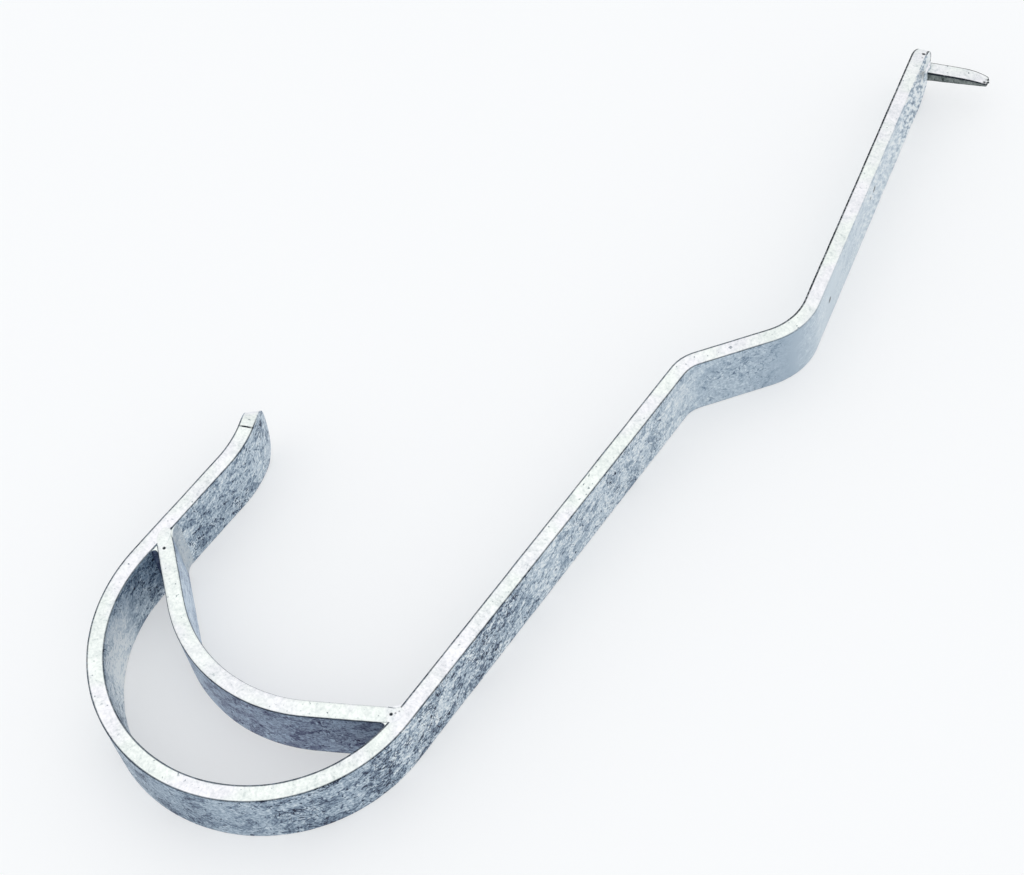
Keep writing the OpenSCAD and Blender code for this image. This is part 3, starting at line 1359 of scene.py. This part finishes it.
def main() -> None:
    """Builds the studio, then the hook, its seat and its spike."""
    logging.basicConfig(level=logging.INFO, format="%(message)s")
    Studio().build()
    hook = Hook()
    bar = hook.bar()
    pits_and_painted_shade = (
        # Pinholes at the joints, where the weld's gas came out
        Mark((-71.1, -37.8, 34.9), 1, 1.0, 0.5),
        Mark((67.9, -47.6, 34.9), 1.1, 1.0, 0.5),
        Mark((69.2, -46.2, 34.9), 0.8, 0.8),
        Mark((70, -44.6, 34.9), 0.7, 0.7),
        Mark((70.5, 412.9, 34.4), 1.3, 1.0, 0.5),
        Mark((71.4, 409.6, 34.6), 0.8, 0.5),
        # Nicks in the tang's face
        Mark((91.2, 325.2, 24), 2.4, 0.9, 0.4),
        Mark((92.4, 319.5, 23), 1.8, 0.7),
        Mark((106, 255.7, 18), 2.4, 0.9, 0.4),
        # Painted shade: a dark line along the end of the tang, beside the spike's root, where
        # shadow falls between them
        Mark((70.7, 422, 28.2), 2.2, 1.0, 0.4),
        Mark((70.3, 423.9, 24.8), 2.4, 1.0, 0.4),
        Mark((70.1, 424.6, 21.4), 2.4, 1.0, 0.4),
        Mark((71.6, 423.4, 20.6), 2.2, 1.0, 0.5),
    )
    # Galvanised flat bar, darker along the hook and paler up the tang, where its
    # marks paint light and shade in
    finish = GalvanisedSteel(
        "galvanised_bar",
        arris_share=0.2,
        turns=(
            LineTurn(9.0, 15.0, 0.6),
            LineTurn(570.0, 640.0, 0.2),
            LineTurn(570.0, 650.0, -0.82, right_only=True),
            LineTurn(806.0, 813.0, 1.0, right_only=True),
        ),
        middle=bar.seed * SEED_STEP,
        creases=(16.6,),
        # Painted light and shade, place by place, lighter or darker than the zinc around
        marks=(
            Mark((85, 335, 17), 130, 0.22, 0.7),
            Mark((77, 130, 17), 90, 0.1),
            # Painted light beside the spike's root, which offsets the spike's dark reflection
            # in the tang's face
            Mark((70.8, 420.5, 29.5), 9, 0.5, 0.6),
            Mark((73.5, 411.5, 24), 7, 0.4, 0.4),
            Mark((-3, -126, 10), 80, -0.1, 0.4),
            Mark((-68, -80, 12), 26, 0.12, 0.4),
            Mark((-76, -58, 8), 22, -0.05),
            Mark((-75, -8, 12), 26, -0.08, 0.4),
            Mark((-66, -96, 12), 36, 0.28),
            Mark((-74, -27, 14), 15, 0.22, 0.4),
            Mark((77, -33, 17), 15, 0.12, 0.5),
            Mark((77, -8, 17), 12, -0.1, 0.4),
            Mark((77, 19, 17), 13, -0.14, 0.4),
            Mark((77, 62, 17), 34, 0.09, 0.4),
            Mark((79, 160, 17), 24, 0.1, 0.5),
            Mark((66, -87, 17), 34, -0.12, 0.6),
            Mark((6, -126, 17), 26, -0.08, 0.5),
        ),
        evens=(
            Mark((76, -20, 17), 60, -0.35, 0.6),
            Mark((16, -124, 17), 46, 0.3, 0.6),
            Mark((92, 205, 17), 75, 0.5, 0.5),
            Mark((-68, -80, 12), 28, 0.4, 0.4),
            Mark((88, 325, 17), 130, 0.72, 0.75),
        ),
        runs=(
            Mark((72, 408, 17), 62, 0.85),
            Mark((88, 335, 17), 50, 0.3, 0.2),
        ),
        pits=pits_and_painted_shade,
    ).build()
    # Galvanised flat bar with bluer tones, purple in the darks, and painted shade under the
    # seat inside the hook's loop
    strap = GalvanisedSteel(
        "galvanised_strap",
        face_tones=(
            (0.0, "#2a2b47"),
            (0.22, "#545b7c"),
            (0.42, "#8691a9"),
            (0.6, "#a7b8cc"),
            (0.8, "#c5d5e4"),
            (1.0, "#e6eff6"),
        ),
        contrast=0.72,
        # Painted light and shade: paler towards the arm, darker under the middle and towards
        # the shank
        marks=(
            Mark((-58, -52, 20), 30, 0.16, 0.5),
            Mark((52, -56, 15), 40, -0.12, 0.4),
            Mark((12, -78, 10), 38, -0.11, 0.6),
        ),
        pits=pits_and_painted_shade,
    ).build()
    # Galvanised weld metal, which takes thicker zinc and looks paler
    bead = GalvanisedSteel(
        "galvanised_weld",
        lift=0.2,
        contrast=0.55,
        arris_share=0.2,
        roughness=0.46,
        pits=pits_and_painted_shade,
    ).build()
    # Painted shade in the loop's corners under the seat, where the welds sit in shadow: dark,
    # bluish tones
    painted_corner_shade = GalvanisedSteel(
        "galvanised_corner_shade",
        face_tones=((0.0, "#1e2138"), (0.4, "#3a4468"), (0.7, "#6c7c99"), (1.0, "#a9b7c6")),
        contrast=0.6,
        arris_share=0.3,
        roughness=0.55,
    ).build()
    place, right = bar.at(bar.length - 7.0)
    root = place + right * bar.section.thickness / 2 + Vector((0, 0, bar.section.width / 2))
    # Galvanised forged steel, grey-green, with wide dark arrises that paint shade along its
    # outlines, and a chipped tip
    tip = root + right * 32.0 + Vector((0.0, 1.4, 0.9))
    chips = (
        Mark((-1.5, -1.4, -0.3), 1.5, 0.95, 0.5),
        Mark((0.6, 2.2, 0), 1, 1.0, 0.5),
        Mark((-1.6, 0.6, 0), 0.8, 0.8, 0.4),
        Mark((-4, -2.6, 0), 1.2, 0.8, 0.4),
    )
    wedge = GalvanisedSteel(
        "galvanised_spike",
        face_tones=((0.0, "#2a302e"), (0.3, "#505a56"), (0.6, "#7f8a86"), (1.0, "#c9d0cd")),
        lift=0.14,
        contrast=0.8,
        arris_share=1.2,
        arris_end=0.76,
        pits=tuple(replace(chip, centre=tip + Vector(chip.centre)) for chip in chips),
    ).build()
    hook.dress(finish)
    low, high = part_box("seat_strap")
    seat = Seat(arm_face=round(low.x / MM, 3), shank_face=round(high.x / MM, 3))
    seat.dress(strap, {Corner.CRADLE: bead, Corner.LOOP: painted_corner_shade})
    Spike(root, right).dress(wedge, bead)

    low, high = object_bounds()
    log_box("finished hook", low, high)


if __name__ == "__main__":
    main()
